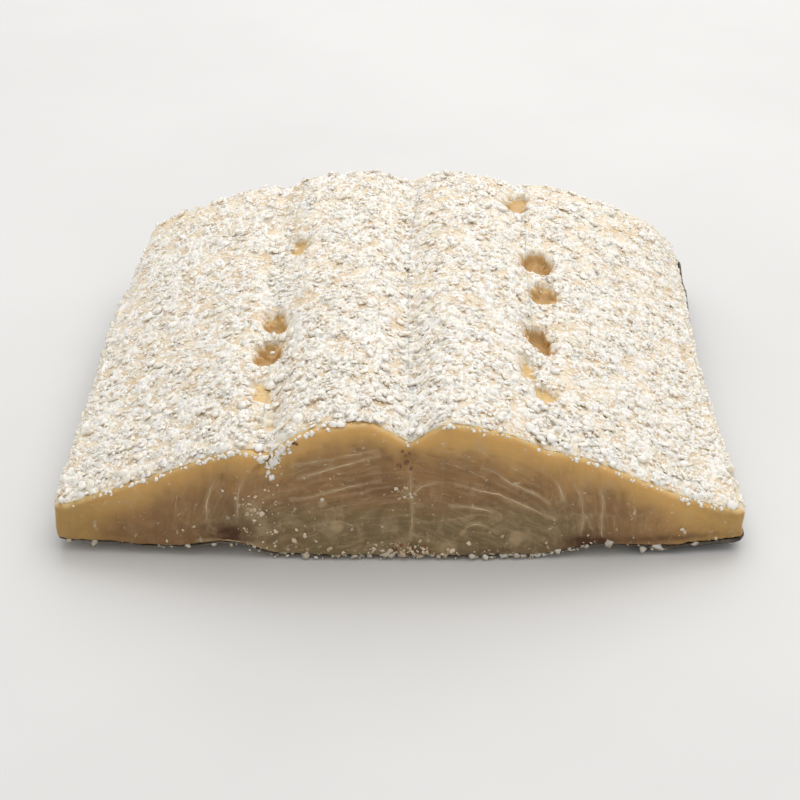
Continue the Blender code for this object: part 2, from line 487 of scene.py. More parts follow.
def septaBands(x, y, z):
    band = np.zeros(len(x))
    for side in (-1, 1):
        here = np.flatnonzero(side * y > 0)
        for points, share in cutLines(side):
            near = share * bump(lineDistance(x[here], z[here], points), 0.8 * mm)
            band[here] = np.maximum(band[here], near)
        for across, up, wide in paleKnots:
            knot = bump(x[here] + side * across * mm, wide * mm) * bump(z[here] - up * mm, 1.2 * wide * mm)
            band[here] = np.maximum(band[here], 1.4 * knot)
    return band


def rimWidth(x, places, wander):
    # how deep the amber rim under the salt goes, in millimetres; the rim is partly the flesh's own colour,
    # partly painted glow of light through the top
    wide = 5.4 + 2.6 * wander + 1.4 * roughness(places, 2.2 * mm, 8.0)
    wide = wide + 5.0 * ramp(52 * mm, 74 * mm, np.abs(x)) - 1.0 * bump(x - middleFurrow, 6 * mm)
    return wide + 1.6 * bump(x - 20 * mm, 16 * mm)


def makeFlesh():
    bpy.ops.object.select_all(action="DESELECT")
    bpy.ops.mesh.primitive_cube_add(size=2)
    block = newest("cod_flesh")
    bpy.ops.object.mode_set(mode="EDIT")
    bpy.ops.mesh.select_mode(type="EDGE")
    for axis, name in enumerate(("columns", "rows", "layers")):
        subdivideAlong(block, axis, fleshBlock[name])
    bpy.ops.object.mode_set(mode="OBJECT")

    across, along, up = readPoints(block).T
    placed, x, y, z, bottom = blockSurface(across, 2 * rowShare(along) - 1, up)
    front, rear = frontAt(x), rearAt(x)
    fromFlank = np.minimum(x - leftAt(y), rightAt(y) - x)

    atFront = 1 - ramp(0.2 * mm, fleshBlock["relief"], y - front)
    atRear = 1 - ramp(0.2 * mm, fleshBlock["relief"], rear - y)
    crease = lineDistance(x, z, fissure["points"])
    gap = fissure["depth"] * bump(crease, fissure["width"]) * ramp(22.5 * mm, 25.5 * mm, z)
    lap = ramp(-0.4 * mm, 0.8 * mm, -crease) * (1 - ramp(3 * mm, 8 * mm, -crease))
    gap -= fissure["flap"] * lap * ramp(22 * mm, 28 * mm, z)
    placed[:, 1] += atFront * (cutRelief(x, z, 1.0) + gap)
    placed[:, 1] -= atRear * cutRelief(x, z, 31.0)
    # ragged lower edge and lumpy flanks
    low = 1 - ramp(0, 2.5 * mm, z - bottom)
    places = np.column_stack((x, 0.25 * y, 0.0 * z))
    placed[:, 2] += (atFront + atRear) * low * 0.28 * mm * (1 + roughness(places, 2.3 * mm, 4.0))
    atFlank = (1 - ramp(0, 3 * mm, fromFlank)) * np.sign(x)
    placed[:, 0] += atFlank * 0.35 * mm * roughness(np.column_stack((y, z, x)), 4 * mm, 7.0)
    writePoints(block, placed)

    # what the shader needs to know about each place
    depth = readMap(closedMap, x, y) - z
    places = np.column_stack((x, y, z))
    wander = roughness(places, 7 * mm, 2.0)
    wide = rimWidth(x, places, wander)
    writeValues(block, "rim", bump(np.maximum(depth - 0.4 * mm, 0), wide * mm))
    writeValues(block, "lip", 1 - ramp(0, 1.2 * mm, depth))
    writeValues(block, "blunt", ramp(58 * mm, 78 * mm, np.abs(x) + 3 * mm * wander))
    writeValues(block, "belly", (1 - ramp(9 * mm, 19 * mm, z)) * (1 - ramp(34 * mm, 50 * mm, np.abs(x))))
    writeValues(block, "arcs", flakeArcs(x, z) + 0.25 * wander)
    writeValues(block, "run", np.where(np.abs(x) < 36 * mm, x, z) / mm)
    writeValues(block, "inner", (1 - ramp(30 * mm, 38 * mm, np.abs(x))) * ramp(3 * mm, 6 * mm, depth))
    writeValues(block, "steep", flankArcs(x, z) + 0.15 * wander)
    writeValues(block, "outer", bump(np.abs(x) - 42 * mm, 11 * mm) * ramp(1 * mm, 4 * mm, depth))
    stain = np.zeros(len(x))
    for acrossAt, upAt, wideBy, highBy, strength in stains:
        stain += strength * bump(x - acrossAt * mm, wideBy * mm) * bump(z - upAt * mm, highBy * mm)
    writeValues(block, "stain", np.clip(stain, 0, 1.2))
    writeValues(block, "septum", septaBands(x, y, z))
    writeValues(block, "flank", (1 - ramp(0.2 * mm, 2.2 * mm, fromFlank)) * (1 - atFront) * (1 - atRear))
    block.data.shade_smooth()
    print("flesh block:", len(block.data.polygons), "faces")
    return block


stains = (
    # across, up, half width and half height in millimetres, strength
    (-38.5, 6.4, 3.4, 2.4, 1.0),
    (-38.0, 7.4, 6.5, 4.0, 0.4),
    (43.5, 4.2, 4.2, 1.9, 1.5),
    (41.0, 5.2, 7.0, 3.0, 0.4),
    (62.0, 4.9, 12.0, 1.0, 0.7),
    (2.0, 28.0, 2.6, 2.4, 0.45),
    (2.4, 2.4, 4.0, 1.8, 0.5),
    (-29.0, 30.0, 1.6, 4.5, 0.3),
    (24.0, 2.6, 9.0, 1.2, 0.4),
    (-60.0, 6.5, 16.0, 6.0, 0.32),
    (3.0, 25.0, 9.0, 4.5, 0.16),
    (-48.0, 20.0, 22.0, 8.0, 0.13),
    (-6.0, 20.0, 7.0, 3.0, 0.14),
    (33.0, 22.0, 5.0, 4.0, 0.14),
)

fleshLook = {
    "amber": (0.69, 0.405, 0.125),    # under the salted rim: partly the cured flesh's colour, partly painted glow of light coming through from the lit top
    "lip": (0.72, 0.52, 0.25),        # its upper edge
    "yellow": (0.40, 0.245, 0.070),   # at the blunt flanks
    "brown": (0.225, 0.120, 0.045),   # the middle of the cut
    "light": (0.35, 0.195, 0.075),
    "grey": (0.21, 0.152, 0.070),     # low down, near the belly
    "pale": (0.51, 0.37, 0.21),       # septa and flecks
    "shade": (0.15, 0.080, 0.033),
    "salted": (0.84, 0.74, 0.56),     # the flanks' dusting of salt
    "fleck": (0.66, 0.56, 0.42),      # tiny dots of salt
    "stain": (0.082, 0.028, 0.007),
    "scatter": 2.0 * mm,
}


def fleshMaterial():
    material, tree, shader = newMaterial("codFlesh")
    look = fleshLook
    place = objectPlace(tree)
    cloud = noiseNode(tree, place, 70, 4)
    mottle = noiseNode(tree, place, 420, 4)
    colour = mixColours(tree, between(tree, cloud, 0.3, 0.7), look["brown"], look["light"])
    belly = times(tree, attribute(tree, "belly"), between(tree, cloud, 0.2, 0.55, 0.5, 1.0))
    colour = mixColours(tree, belly, colour, look["grey"])
    # amber under the rim: partly the flesh's own colour, partly painted light glowing through from the top
    rim = times(tree, attribute(tree, "rim"), between(tree, cloud, 0.15, 0.6, 0.75, 1.0))
    colour = mixColours(tree, rim, colour, look["amber"])
    colour = mixColours(tree, times(tree, attribute(tree, "blunt"), 0.75), colour, look["yellow"])
    lip = times(tree, attribute(tree, "lip"), between(tree, mottle, 0.3, 0.65, 0.1, 0.7))
    colour = mixColours(tree, lip, colour, look["lip"])
    # fibres and septa follow the two arc fields; the septa are faint lines at their whole numbers
    for arcs, zone, breaks in (("arcs", "inner", 90), ("steep", "outer", 130)):
        bent = maths(tree, "ADD", attribute(tree, arcs), times(tree, mottle, 0.16))
        lane = addNode(tree, "CombineXYZ", None, X=times(tree, bent, 5.0),
                       Y=times(tree, attribute(tree, "run"), 0.22)).outputs[0]
        streak = noiseNode(tree, lane, 0.8, 3, 0.4, 0.55)
        for span, tint in (((0.48, 0.80, 0.0, 0.45), "pale"), ((0.22, 0.48, 0.45, 0.0), "shade")):
            share = times(tree, between(tree, streak, *span), attribute(tree, zone))
            colour = mixColours(tree, share, colour, look[tint])
        saw = maths(tree, "PINGPONG", bent, 0.5)
        line = between(tree, saw, 0.0, 0.10, 1.0, 0.0)
        broken = between(tree, noiseNode(tree, place, breaks, 2), 0.42, 0.62)
        strength = times(tree, times(tree, line, broken), attribute(tree, zone))
        colour = mixColours(tree, times(tree, strength, 0.22), colour, look["pale"])
    soft = times(tree, attribute(tree, "septum"), between(tree, mottle, 0.3, 0.6, 0.5, 1.0))
    soft = times(tree, soft, between(tree, attribute(tree, "rim"), 0.2, 0.7, 1.0, 0.0))
    colour = mixColours(tree, between(tree, soft, 0.2, 1.0, 0.0, 0.55), colour, look["pale"])
    patch = between(tree, noiseNode(tree, place, 150, 6, 1.2, 0.6), 0.48, 0.64, 0.0, 0.3)
    colour = mixColours(tree, times(tree, patch, attribute(tree, "belly")), colour, look["pale"])
    fibres = noiseNode(tree, objectPlace(tree, (1, 1, 0.22)), 900, 3)
    colour = mixColours(tree, between(tree, fibres, 0.55, 0.85, 0.0, 0.30), colour, look["pale"])
    film = between(tree, noiseNode(tree, place, 240, 5, 0.3, 0.7), 0.52, 0.68, 0.0, 0.3)
    colour = mixColours(tree, film, colour, look["pale"])
    murk = between(tree, noiseNode(tree, place, 190, 5, 0.3, 0.7), 0.54, 0.70, 0.0, 0.5)
    inside = maths(tree, "SUBTRACT", 1.0, attribute(tree, "rim"))
    colour = mixColours(tree, times(tree, murk, inside), colour, look["shade"])
    fleck = between(tree, noiseNode(tree, place, 650, 2, 0.4), 0.66, 0.74)
    colour = mixColours(tree, times(tree, fleck, 0.6), colour, look["fleck"])
    stain = times(tree, attribute(tree, "stain"), between(tree, mottle, 0.3, 0.55, 0.5, 1.0))
    colour = mixColours(tree, stain, colour, look["stain"])
    dusting = times(tree, attribute(tree, "flank"), between(tree, mottle, 0.3, 0.6, 0.6, 1.0))
    colour = mixColours(tree, dusting, colour, look["salted"])
    tree.links.new(colour, shader.inputs["Base Color"])
    rough = between(tree, mottle, 0.3, 0.7, 0.28, 0.50)
    tree.links.new(rough, shader.inputs["Roughness"])
    setShader(shader, Subsurface_Weight=0.44, Subsurface_Scale=look["scatter"], Specular_IOR_Level=0.34)
    shader.inputs["Subsurface Radius"].default_value = (1.0, 0.55, 0.28)
    height = maths(tree, "ADD", times(tree, fibres, 0.6), mottle)
    addBump(tree, shader, height, 0.55, 0.45 * mm)
    return material


# the salted top: four strips of one crumbly sheet over the flesh, worn thin in the pits and along the rims

crust = {
    "strips": (178, 126, 118, 170),  # columns of its four pieces, which meet along the furrows
    "rows": 516,
    "inset": 0.5 * mm,       # from the block's flanks
    "behind": 1.1 * mm,      # the cuts
    "lift": (0.55 * mm, 1.45 * mm),  # at the front and the rear
    "taper": 3.0 * mm,       # how far from the rims it thins out
    "sink": 0.55 * mm,       # under the flesh where there is no salt
    "skirt": 7.5 * mm,       # the hidden wall below its outline
    "slant": 0.97,           # which leans away from the cuts
    "swell": 0.30 * mm,      # low lumps under the grains
    "pits": 0.70,            # their depth, as a share of the frame's
}


rimGaps = {
    # millimetres of bare flesh at each cut, its changes (across, half width, by how much) and a seed
    "front": (0.7, ((-12, 9, 1.9), (2, 4, -0.8)), 3.0),
    "rear": (0.3, ((-50, 22, 2.4),), 23.0),
}


def rimGap(x, cut):
    # how far behind the cut the salt starts
    wide, changes, seed = rimGaps[cut]
    for across, half, more in changes:
        wide = wide + more * bump(x - across * mm, half * mm)
    line = np.column_stack((x, np.zeros(len(x)), np.zeros(len(x))))
    return (wide + 0.9 * roughness(line, 9 * mm, seed) + 1.4 * roughness(line, 2.0 * mm, seed + 3)) * mm


def pitDepth(x, y):
    # read a little to one side or the other, which makes the pits' outlines ragged
    places = np.column_stack((x, y, np.zeros(len(x))))
    shiftX = 1.5 * mm * roughness(places, 2.4 * mm, 41.0) + 0.9 * mm * roughness(places, 1.0 * mm, 43.0)
    shiftY = 2.2 * mm * roughness(places, 2.6 * mm, 47.0)
    return readMap(pitMap, x + shiftX, y + shiftY)


def bareness(x, y):
    # first where there is no salt at all, then with the worn patches added
    pits = ramp(1.25 * mm, 2.3 * mm, pitDepth(x, y))
    places = np.column_stack((x, y, np.zeros(len(x))))
    worn = ramp(0.12, 0.50, roughness(places, 6.0 * mm, 12.0) + 0.5 * roughness(places, 1.8 * mm, 2.0))
    corner = bump(x - leftAt(y) - 12 * mm, 20 * mm) * bump(rearAt(x) - y, 7 * mm)
    hollow = np.clip(pits + 1.0 * corner, 0, 1)
    return hollow, np.clip(hollow + 0.30 * worn, 0, 1)


class SaltBed:
    # the crust's heights over a fine grid, and how high the salt lies on it so far

    def __init__(self):
        columns, rows = sum(crust["strips"]), crust["rows"]
        across, along = np.meshgrid(np.linspace(-1, 1, columns + 1), np.linspace(-1, 1, rows + 1))
        x, y = spreadOver(across.ravel(), along.ravel(), crust["inset"], crust["behind"])
        fromFlank = np.minimum(x - leftAt(y), rightAt(y) - x)
        fromFront = y - frontAt(x) - rimGap(x, "front")
        fromRim = np.minimum(fromFront, rearAt(x) - y - rimGap(x, "rear"))
        salted = ramp(-0.9 * mm, 0.9 * mm, fromRim) * ramp(0.5 * mm, 1.6 * mm, fromFlank)
        rim = 0.6 * (1 - ramp(0, 1.6 * mm, fromRim))
        hollow, bare = [np.maximum(values, rim) for values in bareness(x, y)]
        places = np.column_stack((x, y, np.zeros(len(x))))
        swell = roughness(places, 4.0 * mm, 6.0) + 0.4 * roughness(places, 1.3 * mm, 16.0)
        pit = pitDepth(x, y)
        top = readMap(topMap, x, y)
        thin = mix(0.12, 1.0, ramp(-0.3 * mm, crust["taper"], fromFront))
        lift = mix(*crust["lift"], ramp(0.2, 0.9, shareAlong(y))) * thin
        z = readMap(closedMap, x, y) - crust["pits"] * pit + lift
        z += crust["swell"] * swell * (1 - 0.7 * bare) * thin
        # grains may lie on the crust, and a few on the bare rim; they stand up more at the flanks
        onRim = 0.7 * ramp(-2.6 * mm, -0.4 * mm, fromRim) * ramp(0.3 * mm, 1.2 * mm, fromFlank)
        laid = np.maximum(salted, onRim)
        ground = np.where((salted > 0.6) | (pit > 0.2 * mm), z, np.maximum(z, top - 0.15 * mm))
        verge = 1 - ramp(1.5 * mm, 5 * mm, fromFlank)
        brink = bump(fromRim - 0.2 * mm, 0.8 * mm) * ramp(1 * mm, 2 * mm, fromFlank)
        fields = {
            "x": x, "y": y, "base": ground, "top": top, "salted": salted, "bare": bare, "pit": pit,
            "laid": laid, "verge": verge, "hollow": hollow, "brink": brink,
        }
        for name, values in fields.items():
            setattr(self, name, values.reshape(rows + 1, columns + 1))
        self.height = self.base.copy()
        self.tone = np.zeros_like(self.base)
        self.cell = (fleshHigh.x - fleshLow.x) / columns
        slopeX = np.gradient(self.base, axis=1) / self.cell
        slopeY = np.gradient(self.base, axis=0) / self.cell
        for _ in range(10):  # the slope of the ground, not of its lumps
            slopeX = sum(np.roll(slopeX, s, a) for s in (-2, 2) for a in (0, 1)) / 4
            slopeY = sum(np.roll(slopeY, s, a) for s in (-2, 2) for a in (0, 1)) / 4
        self.slopeX, self.slopeY = slopeX, slopeY

    def patch(self, i, j, size):
        r = max(1, int(round(0.5 * size / self.cell)))
        window = slice(max(i - r, 0), i + r + 1), slice(max(j - r, 0), j + r + 1)
        heights = self.height[window]
        rows, columns = np.ogrid[window[0].start - i:window[0].start - i + heights.shape[0],
                                 window[1].start - j:window[1].start - j + heights.shape[1]]
        plane = (self.slopeX[i, j] * columns + self.slopeY[i, j] * rows) * self.cell
        return window, heights, rows * self.cell, columns * self.cell, plane

    def stamp(self, i, j, size, thickness, dice):
        # a flat caked grain: a slab with a wavy outline and round edges, a little tilted
        window, heights, v, u, plane = self.patch(i, j, 1.15 * size)
        turn, long = dice.uniform(0, math.pi), dice.uniform(0.6, 1.0)
        a = (u * math.cos(turn) + v * math.sin(turn)) / (0.5 * size)
        b = (v * math.cos(turn) - u * math.sin(turn)) / (0.5 * size * long)
        angle = np.arctan2(b, a)
        first, second = dice.uniform(0, 2 * math.pi, 2)
        reach = np.hypot(a, b) * (1 + 0.16 * np.cos(3 * angle + first) + 0.10 * np.cos(5 * angle + second))
        level = 0.35 * (heights - plane).max() + 0.65 * (heights - plane).mean()
        level = min(level, self.base[i, j] + 0.9 * mm)
        tiltX, tiltY = dice.normal(0, 0.10, 2)
        slab = plane + level + tiltX * u + tiltY * v + thickness * np.sqrt(np.clip(1 - reach ** 4, 0, 1))
        over = (reach < 1) & (slab > heights)
        self.height[window] = np.where(over, slab, heights)
        self.tone[window] = np.where(over, dice.random(), self.tone[window])

    def rest(self, i, j, size, thickness, proud):
        # the height where a loose grain of this size comes to rest
        window, heights, v, u, plane = self.patch(i, j, size)
        level = 0.4 * (heights - plane).max() + 0.6 * (heights - plane).mean()
        z = level + proud * thickness
        dome = 1 - (u ** 2 + v ** 2) / (0.5 * size + 0.6 * self.cell) ** 2
        crown = np.where(dome > 0, plane + z + 0.4 * thickness * np.sqrt(np.clip(dome, 0, 1)), -1)
        self.height[window] = np.maximum(heights, crown)
        return z

    def facing(self, i, j):
        return -self.slopeX[i, j], -self.slopeY[i, j], 1.0


cakedSalt = (
    # sizes in millimetres, thickness in millimetres, how many
    ((1.5, 3.0), (0.20, 0.42), 3000),
    ((0.8, 1.5), (0.16, 0.34), 17000),
    ((0.45, 0.8), (0.12, 0.26), 46000),
)


furrowFlakes = {
    "count": 60,
    "across": 2.0 * mm,
    "spread": 6.5 * mm,
    "start": 2.5 * mm,       # behind the front cut
    "reach": 50 * mm,
    "size": (1.6 * mm, 3.2 * mm),
    "thickness": (0.22 * mm, 0.45 * mm),
}


def cakeSalt(bed):
    dice = np.random.default_rng(5)
    rows, columns = bed.base.shape
    for sizes, thicknesses, count in cakedSalt:
        for _ in range(count):
            i, j = int(dice.integers(2, rows - 2)), int(dice.integers(2, columns - 2))
            x, y = bed.x[i, j], bed.y[i, j]
            lump = noiseAt(x, y, 4 * mm, 3.4 * mm) + 0.5 * noiseAt(x, y, 9 * mm, 11 * mm)
            chance = (0.62 + 1.3 * lump) * (1 - 0.9 * bed.bare[i, j])
            if sizes[1] < 1:  # the finest salt is everywhere
                chance = max(chance, 0.9 * (1 - 0.95 * bed.hollow[i, j]))
            if dice.random() > chance * bed.salted[i, j]:
                continue
            thickness = dice.uniform(*thicknesses) * mix(1.1, 0.75, i / rows)  # worn finer towards the rear
            bed.stamp(i, j, mix(*sizes, dice.random() ** 1.6) * mm, thickness * mm, dice)
    for _ in range(furrowFlakes["count"]):
        x = furrowFlakes["across"] + dice.normal() * furrowFlakes["spread"]
        y = fleshLow.y + furrowFlakes["start"] + furrowFlakes["reach"] * dice.random() ** 1.5
        j = int(np.clip((x - leftAt(y)) / (rightAt(y) - leftAt(y)), 0.1, 0.9) * (columns - 1))
        i = int(np.clip((y - frontAt(x)) / (rearAt(x) - frontAt(x)), 0.01, 0.9) * (rows - 1))
        bed.stamp(i, j, dice.uniform(*furrowFlakes["size"]), dice.uniform(*furrowFlakes["thickness"]), dice)
    bed.caked = bed.height.copy()  # for the crust's strips; loose grains raise only bed.height
    print("salt caked on the crust")


def makeCrust(bed, number):
    first, columns = sum(crust["strips"][:number]), crust["strips"][number]
    bpy.ops.object.select_all(action="DESELECT")
    bpy.ops.mesh.primitive_grid_add(x_subdivisions=columns, y_subdivisions=crust["rows"], size=2)
    strip = newest("salt_crust_" + str(number + 1))
    unit = readPoints(strip)
    i = np.round((unit[:, 1] + 1) / 2 * crust["rows"]).astype(int)
    j = first + np.round((unit[:, 0] + 1) / 2 * columns).astype(int)
    z = mix(bed.top[i, j] - crust["sink"], bed.caked[i, j], bed.salted[i, j])
    writePoints(strip, np.column_stack((bed.x[i, j], bed.y[i, j], z)))
    writeValues(strip, "bare", bed.bare[i, j])
    writeValues(strip, "raised", (bed.caked - bed.base)[i, j] / mm)
    writeValues(strip, "tone", bed.tone[i, j])
    # how deep a pit is here, which the crust's material uses to paint shade at its bottom
    writeValues(strip, "pit", ramp(1.6 * mm, 4.2 * mm, bed.pit[i, j]))
    strip.data.shade_smooth()

    pick(strip)
    bpy.ops.object.mode_set(mode="EDIT")
    bpy.ops.mesh.select_mode(type="EDGE")
    bpy.ops.mesh.select_all(action="SELECT")
    bpy.ops.mesh.region_to_loop()
    bpy.ops.mesh.mark_sharp()
    bpy.ops.mesh.extrude_edges_move(TRANSFORM_OT_translate={"value": (0, 0, -crust["skirt"])})
    bpy.ops.transform.resize(value=(1, crust["slant"], 1), center_override=(0, 0, 0))
    bpy.ops.mesh.edge_face_add()
    bpy.ops.mesh.quads_convert_to_tris()
    bpy.ops.mesh.select_all(action="SELECT")
    bpy.ops.mesh.normals_make_consistent(inside=False)
    bpy.ops.mesh.select_all(action="DESELECT")
    bpy.ops.object.mode_set(mode="OBJECT")
    print(strip.name + ":", sum(len(face.vertices) - 2 for face in strip.data.polygons), "triangles")
    return strip


crustLook = {
    "salt": (0.87, 0.845, 0.80),
    "creamy": (0.85, 0.79, 0.67),
    "dust": (0.82, 0.73, 0.58),
    "hollow": (0.67, 0.51, 0.32),    # between the grains: the flesh seen through the salt, darkened as painted shade in the gaps
    "beige": (0.80, 0.70, 0.53),     # where the salt has worn thin
    "bare": (0.72, 0.50, 0.22),      # flesh in the pits and along the rims
    "deep": (0.52, 0.315, 0.115),    # painted shade at the bottom of a pit, darker the deeper it is
    "scatter": 1.4 * mm,
}


def crustMaterial():
    material, tree, shader = newMaterial("saltCrust")
    look = crustLook
    place = objectPlace(tree)
    fine = noiseNode(tree, place, 900, 4)
    cloud = noiseNode(tree, place, 160, 3)
    # colour by height on the crust: the low ground between grains is darker and warmer, partly the flesh
    # showing through, partly painted shade in the gaps
    raised = between(tree, attribute(tree, "raised"), 0.02, 0.34)
    ground = mixColours(tree, between(tree, cloud, 0.35, 0.65), look["hollow"], look["dust"])
    grain = mixColours(tree, between(tree, attribute(tree, "tone"), 0.45, 0.95), look["salt"], look["creamy"])
    colour = mixColours(tree, raised, ground, grain)
    colour = mixColours(tree, between(tree, fine, 0.5, 0.75, 0.0, 0.4), colour, look["salt"])
    thin = maths(tree, "SUBTRACT", attribute(tree, "bare"), times(tree, raised, 0.35))
    colour = mixColours(tree, between(tree, thin, 0.05, 0.5), colour, look["beige"])
    colour = mixColours(tree, between(tree, thin, 0.45, 0.9), colour, look["bare"])
    # painted shade: the deeper parts of the pits darkened
    colour = mixColours(tree, attribute(tree, "pit"), colour, look["deep"])
    tree.links.new(colour, shader.inputs["Base Color"])
    tree.links.new(between(tree, fine, 0.3, 0.7, 0.35, 0.6), shader.inputs["Roughness"])
    setShader(shader, Subsurface_Weight=0.6, Subsurface_Scale=look["scatter"])
    shader.inputs["Subsurface Radius"].default_value = (1.0, 0.82, 0.6)
    addBump(tree, shader, fine, 0.3, 0.2 * mm)
    return material


# loose salt on top: four kinds, laid one grain at a time on what is already there

saltKinds = {
    # sizes in millimetres; lumps are how many of its shapes are rounded ones and not chipped cubes
    "salt_crystals": {
        "count": 620, "size": (1.4, 3.0), "flat": (0.2, 0.42), "tilt": 0.2, "proud": 0.1,
        "chips": 8, "lumps": 3, "rings": 2, "seed": 11,
    },
    "salt_grains": {
        "count": 2100, "size": (0.8, 1.5), "flat": (0.28, 0.55), "tilt": 0.25, "proud": 0.1,
        "chips": 6, "lumps": 5, "rings": 2, "seed": 22,
    },
    "salt_small": {
        "count": 4400, "size": (0.45, 0.85), "flat": (0.35, 0.75), "tilt": 0.45, "proud": 0.15,
        "chips": 3, "lumps": 6, "rings": 1, "seed": 33,
    },
    "salt_fine": {
        "count": 6000, "size": (0.28, 0.46), "flat": (0.6, 1.0), "tilt": 0.8, "proud": 0.15,
        "chips": 1, "lumps": 6, "rings": 1, "seed": 44,
    },
}
shapesPerKind = 8


def takeShape(obj, corners):
    # corners moved to the middle and scaled to one across, and its faces
    corners -= (corners.max(0) + corners.min(0)) / 2
    corners /= (corners.max(0) - corners.min(0)).max()
    faces = np.array([tuple(face.vertices) for face in obj.data.polygons])
    bpy.data.objects.remove(obj)
    return corners, faces


def makeLumpShape(rings, dice):
    # a rounded grain: a ball with its points moved in and out
    bpy.ops.object.select_all(action="DESELECT")
    bpy.ops.mesh.primitive_ico_sphere_add(subdivisions=rings, radius=0.5)
    lump = bpy.context.object
    corners = readPoints(lump)
    corners *= 1 + 0.34 * roughness(corners, 0.42, dice.uniform(0, 90))[:, None]
    return takeShape(lump, corners)


def makeGrainShape(chips, dice):
    # a cube chipped by a few slanting cuts, each one capped
    bpy.ops.object.select_all(action="DESELECT")
    bpy.ops.mesh.primitive_cube_add(size=1)
    grain = bpy.context.object
    bpy.ops.object.mode_set(mode="EDIT")
    for _ in range(chips):
        normal = Vector(dice.normal(size=3)).normalized()
        bpy.ops.mesh.select_all(action="SELECT")
        bpy.ops.mesh.bisect(
            plane_co=normal * dice.uniform(0.36, 0.52), plane_no=normal, use_fill=True, clear_outer=True
        )
    bpy.ops.mesh.select_all(action="SELECT")
    bpy.ops.mesh.normals_make_consistent(inside=False)
    bpy.ops.mesh.quads_convert_to_tris()
    bpy.ops.object.mode_set(mode="OBJECT")
    return takeShape(grain, readPoints(grain))


def chippedShapes(plan, dice, count=shapesPerKind):
    return [makeGrainShape(plan["chips"], dice) for _ in range(count)]


def mixedShapes(plan, dice):
    # three chipped ones, the rest rounded
    return chippedShapes(plan, dice)[:3] + [makeLumpShape(1, dice) for _ in range(shapesPerKind - 3)]


def joinGrains(name, shapes, laid):
    # laid holds, for each grain: its shape, place, turn and three sizes
    corners, faces, tones, lows, total = [], [], [], [], 0
    for shape, place, turn, size, tone in laid:
        points, triangles = shapes[shape]
        corners.append((points * size) @ turn.T + place)
        # low: how near each point is to the grain's underside, where the salt material paints warm light into
        # the shade
        lows.append(1 - ramp(-0.45, 0.25, points[:, 2] / np.abs(points[:, 2]).max()))
        faces.append(triangles + total)
        tones.append(np.full(len(points), tone))
        total += len(points)
    corners, faces, tones = np.concatenate(corners), np.concatenate(faces), np.concatenate(tones)
    mesh = bpy.data.meshes.new(name)
    mesh.vertices.add(len(corners))
    mesh.vertices.foreach_set("co", corners.astype(np.float32).ravel())
    mesh.loops.add(len(faces) * 3)
    mesh.loops.foreach_set("vertex_index", faces.astype(np.int32).ravel())
    mesh.polygons.add(len(faces))
    mesh.polygons.foreach_set("loop_start", np.arange(0, len(faces) * 3, 3, dtype=np.int32))
    mesh.update(calc_edges=True)
    piece = bpy.data.objects.new(name, mesh)
    bpy.context.scene.collection.objects.link(piece)
    writeValues(piece, "tone", tones)
    writeValues(piece, "low", np.concatenate(lows))
    mesh.shade_smooth()
    print(name + ":", len(laid), "grains,", len(faces), "triangles")
    return piece


def turned(dice, tilt, normal=(0, 0, 1)):
    # a random turn about the normal, after a random tilt
    lean = Euler((dice.normal() * tilt, dice.normal() * tilt, dice.uniform(0, 2 * math.pi))).to_matrix()
    facing = Vector((0, 0, 1)).rotation_difference(Vector(normal)).to_matrix()
    return np.array(facing @ lean)


def densityOf(kind, x, y, bare, lump, broad):
    # crystals gather in the furrows near the front, grains thin out towards the rear
    behind = y - fleshLow.y
    if kind == "salt_crystals":
        furrow = bump(x - 2 * mm, 8 * mm) * bump(behind, 55 * mm)
        sides = (bump(x - 31 * mm, 5 * mm) + bump(x + 29 * mm, 5 * mm)) * bump(behind, 60 * mm)
        wanted = (0.12 + 0.35 * bump(behind, 40 * mm) + 1.1 * furrow + 0.5 * sides) * (0.8 + 1.2 * lump)
    elif kind == "salt_grains":
        wanted = (0.45 + 1.7 * lump + 0.6 * broad) * (1 - 0.5 * min(1, behind / (140 * mm)))
    elif kind == "salt_small":
        wanted = 0.5 + 1.2 * lump + 0.6 * broad
    else:
        wanted = 0.8 + 0.4 * broad
    return wanted * (1 - 0.95 * bare)


def laySalt(kind, bed):
    plan = saltKinds[kind]
    dice = np.random.default_rng(plan["seed"])
    shapes = chippedShapes(plan, dice, shapesPerKind - plan["lumps"])
    shapes += [makeLumpShape(plan["rings"], dice) for _ in range(plan["lumps"])]
    rows, columns = bed.base.shape
    taken, laid = {}, []
    spacing = 0.62 * plan["size"][0] * mm
    for _ in range(plan["count"] * 6):
        if len(laid) == plan["count"]:
            break
        i, j = int(dice.integers(1, rows - 1)), int(dice.integers(1, columns - 1))
        x, y = bed.x[i, j], bed.y[i, j]
        lump, broad = noiseAt(x, y, 0, 3.2 * mm), noiseAt(x, y, 9 * mm, 11 * mm)
        chance = densityOf(kind, x, y, bed.bare[i, j], lump, broad) * bed.laid[i, j] + 0.9 * bed.brink[i, j]
        if dice.random() > chance:
            continue
        cell = (int(x / spacing), int(y / spacing))
        if cell in taken:
            continue
        taken[cell] = True
        size = dice.uniform(*plan["size"]) * mm
        flat = dice.uniform(*plan["flat"])
        long = dice.uniform(0.7, 1.0)
        z = bed.rest(i, j, size, size * flat, plan["proud"])
        if z - bed.base[i, j] > 1.3 * mm:
            continue
        jitter = dice.uniform(-0.5, 0.5, 2) * bed.cell
        place = np.array((x + jitter[0], y + jitter[1], z))
        turn = turned(dice, plan["tilt"] + 0.7 * bed.verge[i, j], bed.facing(i, j))
        sizes = np.array((size, size * long, size * flat))
        laid.append((int(dice.integers(shapesPerKind)), place, turn, sizes, dice.random()))
    return shapes, laid


